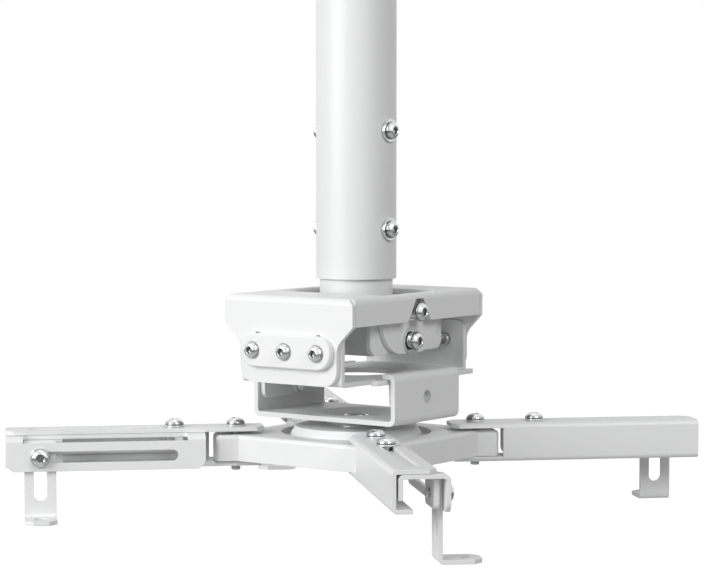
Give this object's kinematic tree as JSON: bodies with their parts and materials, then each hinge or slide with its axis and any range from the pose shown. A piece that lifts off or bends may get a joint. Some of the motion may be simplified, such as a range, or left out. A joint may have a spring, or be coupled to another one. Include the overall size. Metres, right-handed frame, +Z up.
{
  "type": "projector ceiling mount",
  "caption": "Ceiling mount for a projector: a pole, a tilting and rolling bracket, a swivel hub and telescoping arms with height-adjustable feet.",
  "frame": {"origin": "centre of the pole's top end", "axes": "+Z up along the pole, +X along the tilt axis, -Y towards the front clamp plate"},
  "size_m": [0.3394, 0.3394, 0.3173],
  "materials": {
    "white_coat": "semi-gloss white powder coat",
    "pole_finish": "satin light grey coat",
    "zinc": "bright zinc plate"
  },
  "bodies": {
    "pole": {"pole_bolt_nuts": "zinc", "pole_bolt_washers": "zinc", "pole_bolts": "zinc", "pole_collar": "pole_finish", "pole_tube": "pole_finish", "tilt_cradle": "white_coat", "tilt_lock_bolts": "zinc", "tilt_lock_washers": "zinc", "tilt_nuts": "zinc", "tilt_pivot_bolts": "zinc", "tilt_pivot_washers": "zinc"},
    "tilt_frame": {"upper_bracket": "white_coat"},
    "roll_frame": {"middle_bracket": "white_coat", "lower_bracket": "white_coat", "clamp_plate_front": "white_coat", "clamp_plate_rear": "white_coat", "roll_screws": "zinc", "roll_nuts": "zinc", "hook_lock_bolt": "zinc", "hook_lock_nut": "zinc", "swivel_rivet": "zinc", "swivel_washer": "zinc"},
    "hub_plate": {"hub": "white_coat", "pivot_sleeves": "zinc"},
    "front_left_arm": {"front_left_rail": "white_coat", "front_left_pivot_screw": "zinc"},
    "front_left_extension": {"front_left_slider": "white_coat", "front_left_lock_screw": "zinc", "front_left_lock_nut": "zinc"},
    "front_left_clamp": {"front_left_foot_screw": "zinc", "front_left_foot_plate": "zinc"},
    "front_left_stand": {"front_left_foot": "white_coat"},
    "front_right_arm": {"front_right_rail": "white_coat", "front_right_pivot_screw": "zinc"},
    "front_right_extension": {"front_right_slider": "white_coat", "front_right_lock_screw": "zinc", "front_right_lock_nut": "zinc"},
    "front_right_clamp": {"front_right_foot_screw": "zinc", "front_right_foot_plate": "zinc"},
    "front_right_stand": {"front_right_foot": "white_coat"},
    "rear_right_arm": {"rear_right_rail": "white_coat", "rear_right_pivot_screw": "zinc"},
    "rear_right_extension": {"rear_right_slider": "white_coat", "rear_right_lock_screw": "zinc", "rear_right_lock_nut": "zinc"},
    "rear_right_clamp": {"rear_right_foot_screw": "zinc", "rear_right_foot_plate": "zinc"},
    "rear_right_stand": {"rear_right_foot": "white_coat"},
    "rear_left_arm": {"rear_left_rail": "white_coat", "rear_left_pivot_screw": "zinc"},
    "rear_left_extension": {"rear_left_slider": "white_coat", "rear_left_lock_screw": "zinc", "rear_left_lock_nut": "zinc"},
    "rear_left_clamp": {"rear_left_foot_screw": "zinc", "rear_left_foot_plate": "zinc"},
    "rear_left_stand": {"rear_left_foot": "white_coat"}
  },
  "joints": [
    {"name": "tilt", "type": "hinge", "parent": "pole", "child": "tilt_frame", "pos_m": [0, 0, -0.2093], "axis": [1, 0, 0], "range_deg": [-10, 10]},
    {"name": "roll", "type": "hinge", "parent": "tilt_frame", "child": "roll_frame", "pos_m": [0, 0, -0.2132], "axis": [0, 1, 0], "range_deg": [-12, 12]},
    {"name": "swivel", "type": "hinge", "parent": "roll_frame", "child": "hub_plate", "pos_m": [0, 0, -0.268], "axis": [0, 0, 1], "continuous": true},
    {"name": "front_left_arm_swing", "type": "hinge", "parent": "hub_plate", "child": "front_left_arm", "pos_m": [-0.0536, -0.0536, -0.2633], "axis": [0, 0, 1], "range_deg": [-45, 45]},
    {"name": "front_left_arm_telescope", "type": "slide", "parent": "front_left_arm", "child": "front_left_extension", "axis": [-0.7071, -0.7071, 0], "range_m": [0, 0.086]},
    {"name": "front_left_foot_slide", "type": "slide", "parent": "front_left_extension", "child": "front_left_clamp", "axis": [-0.7071, -0.7071, 0], "range_m": [-0.08, 0]},
    {"name": "front_left_foot_height", "type": "slide", "parent": "front_left_clamp", "child": "front_left_stand", "axis": [0, 0, 1], "range_m": [0, 0.023]},
    {"name": "front_right_arm_swing", "type": "hinge", "parent": "hub_plate", "child": "front_right_arm", "pos_m": [0.0536, -0.0536, -0.2633], "axis": [0, 0, 1], "range_deg": [-45, 45]},
    {"name": "front_right_arm_telescope", "type": "slide", "parent": "front_right_arm", "child": "front_right_extension", "axis": [0.7071, -0.7071, 0], "range_m": [0, 0.086]},
    {"name": "front_right_foot_slide", "type": "slide", "parent": "front_right_extension", "child": "front_right_clamp", "axis": [0.7071, -0.7071, 0], "range_m": [-0.08, 0]},
    {"name": "front_right_foot_height", "type": "slide", "parent": "front_right_clamp", "child": "front_right_stand", "axis": [0, 0, 1], "range_m": [0, 0.023]},
    {"name": "rear_right_arm_swing", "type": "hinge", "parent": "hub_plate", "child": "rear_right_arm", "pos_m": [0.0536, 0.0536, -0.2633], "axis": [0, 0, 1], "range_deg": [-45, 45]},
    {"name": "rear_right_arm_telescope", "type": "slide", "parent": "rear_right_arm", "child": "rear_right_extension", "axis": [0.7071, 0.7071, 0], "range_m": [0, 0.086]},
    {"name": "rear_right_foot_slide", "type": "slide", "parent": "rear_right_extension", "child": "rear_right_clamp", "axis": [0.7071, 0.7071, 0], "range_m": [-0.08, 0]},
    {"name": "rear_right_foot_height", "type": "slide", "parent": "rear_right_clamp", "child": "rear_right_stand", "axis": [0, 0, 1], "range_m": [0, 0.023]},
    {"name": "rear_left_arm_swing", "type": "hinge", "parent": "hub_plate", "child": "rear_left_arm", "pos_m": [-0.0536, 0.0536, -0.2633], "axis": [0, 0, 1], "range_deg": [-45, 45]},
    {"name": "rear_left_arm_telescope", "type": "slide", "parent": "rear_left_arm", "child": "rear_left_extension", "axis": [-0.7071, 0.7071, 0], "range_m": [0, 0.086]},
    {"name": "rear_left_foot_slide", "type": "slide", "parent": "rear_left_extension", "child": "rear_left_clamp", "axis": [-0.7071, 0.7071, 0], "range_m": [-0.08, 0]},
    {"name": "rear_left_foot_height", "type": "slide", "parent": "rear_left_clamp", "child": "rear_left_stand", "axis": [0, 0, 1], "range_m": [0, 0.023]}
  ]
}
